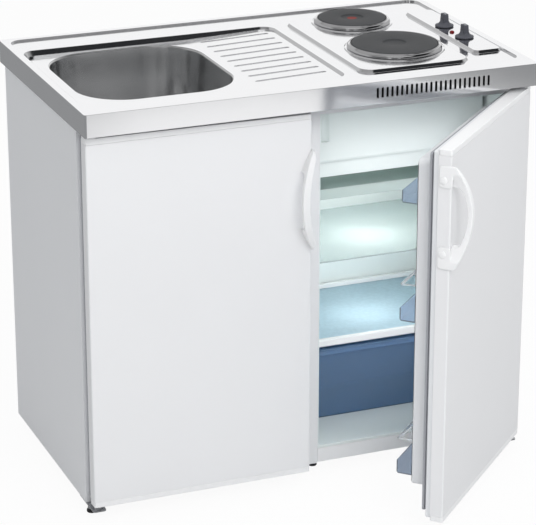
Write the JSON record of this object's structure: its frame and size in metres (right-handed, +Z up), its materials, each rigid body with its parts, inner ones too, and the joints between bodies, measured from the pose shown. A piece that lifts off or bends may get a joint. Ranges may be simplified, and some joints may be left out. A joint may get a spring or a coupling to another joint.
{
  "type": "kitchenette unit with sink and hob",
  "caption": "Free-standing kitchenette: steel worktop with sink bowl, grooved drainer and electric hot plates above a sink cabinet and a small fridge with freezer compartment.",
  "frame": {"origin": "centre of the whole unit's box in width and depth, on the floor, with the fridge door standing open", "axes": "+X to the right seen from the front, +Y towards the wall, +Z up"},
  "size_m": [1.0011, 0.9238, 0.9263],
  "materials": {
    "brushed_steel_top": "fine linen-textured stainless steel",
    "bowl_steel": "satin stainless steel",
    "chipboard": "raw chipboard",
    "white_moulding": "moulded white plastic",
    "cast_iron_plate": "dark coated cast iron with turned rings",
    "chrome_ring": "bright chrome",
    "zinc_sheet": "zinc-plated sheet",
    "ceramic_block": "glazed ceramic, shown as a plain matt block",
    "switch_plastic": "moulded plastic",
    "red_lens": "translucent red lens",
    "grey_knob": "fine-textured dark grey plastic",
    "white_board": "white coated board",
    "black_plastic": "black rubbery plastic",
    "white_enamel": "white painted steel sheet",
    "foam": "rigid insulating foam",
    "white_trim": "white plastic, slight gloss",
    "black_enamel": "black enamel",
    "clear_tray": "translucent plastic",
    "clear_shelf": "clear plastic plate",
    "blue_glass": "textured shelf glass",
    "blue_tub": "translucent blue plastic",
    "blue_rack": "translucent blue plastic",
    "clear_guard": "clear plastic",
    "grey_gasket": "soft grey seal"
  },
  "bodies": {
    "unit": {"worktop": "brushed_steel_top", "worktop_frame": "chipboard", "sink_bowl": "bowl_steel", "waste_flange": "bowl_steel", "waste_body": "white_moulding", "bottle_trap": "white_moulding", "hotplate_rear": "cast_iron_plate", "hotplate_front": "cast_iron_plate", "hotplate_rings": "chrome_ring", "hotplate_clamps": "zinc_sheet", "hotplate_terminals": "ceramic_block", "hob_pan": "zinc_sheet", "hob_switches": "switch_plastic", "pilot_lamp": "red_lens", "side_panel": "white_board", "divider_panel": "white_board", "base_panel": "white_board", "back_panel": "white_board", "front_rail": "white_board", "top_spacers": "black_plastic", "magnet_catch": "switch_plastic", "hinge_brackets": "zinc_sheet", "foot_studs": "zinc_sheet", "foot_pads": "black_plastic", "fridge_shell": "white_enamel", "fridge_foam": "foam", "fridge_liner": "white_moulding", "fridge_back": "zinc_sheet", "fridge_plinth": "white_trim", "compressor_base": "zinc_sheet", "compressor": "black_enamel", "compressor_mounts": "black_plastic", "condenser": "black_enamel", "freezer_box": "white_moulding", "drip_tray": "clear_tray", "thermostat_housing": "white_moulding", "lamp_cover": "clear_tray", "shelf_upper": "clear_shelf", "shelf_lower": "blue_glass", "shelf_trims": "white_moulding"},
    "fridge_door": {"fridge_door_skin": "white_enamel", "fridge_door_liner": "white_moulding", "fridge_door_caps": "white_trim", "fridge_door_gasket": "grey_gasket", "fridge_door_handle": "white_trim", "fridge_handle_screws": "white_trim", "door_racks": "blue_rack", "rack_guards": "clear_guard"},
    "sink_door": {"sink_door_skin": "white_enamel", "sink_door_panel": "white_trim", "sink_door_caps": "white_trim", "sink_door_seal": "grey_gasket", "sink_door_handle": "white_trim", "sink_handle_screws": "white_trim"},
    "freezer_door": {"freezer_flap": "white_moulding"},
    "crisper": {"crisper_drawer": "blue_tub"},
    "rear_knob": {"knob_rear": "grey_knob"},
    "front_knob": {"knob_front": "grey_knob"},
    "thermostat_dial": {"thermostat_knob": "white_trim"},
    "strainer": {"basket_strainer": "bowl_steel"}
  },
  "joints": [
    {"name": "fridge_door_hinge", "type": "hinge", "parent": "unit", "child": "fridge_door", "pos_m": [0.484, -0.10044, 0.435], "axis": [0, 0, 1], "range_deg": [-44.4, 62]},
    {"name": "sink_door_hinge", "type": "hinge", "parent": "unit", "child": "sink_door", "pos_m": [-0.48, -0.10044, 0.435], "axis": [0, 0, -1], "range_deg": [0, 110]},
    {"name": "freezer_flap_hinge", "type": "hinge", "parent": "unit", "child": "freezer_door", "pos_m": [0.45, 0.03056, 0.74], "axis": [0, 0, 1], "range_deg": [0, 42]},
    {"name": "crisper_slide", "type": "slide", "parent": "unit", "child": "crisper", "axis": [0, -1, 0], "range_m": [0, 0.104]},
    {"name": "rear_knob_turn", "type": "hinge", "parent": "unit", "child": "rear_knob", "pos_m": [0.442, 0.19856, 0.9], "axis": [0, 0, 1], "continuous": true},
    {"name": "front_knob_turn", "type": "hinge", "parent": "unit", "child": "front_knob", "pos_m": [0.442, 0.09856, 0.9], "axis": [0, 0, 1], "continuous": true},
    {"name": "thermostat_turn", "type": "hinge", "parent": "unit", "child": "thermostat_dial", "pos_m": [0.432, 0.10156, 0.521], "axis": [-1, 0, 0], "range_deg": [0, 270]},
    {"name": "strainer_lift", "type": "slide", "parent": "unit", "child": "strainer", "axis": [0, 0, 1], "range_m": [0, 0.06]}
  ]
}
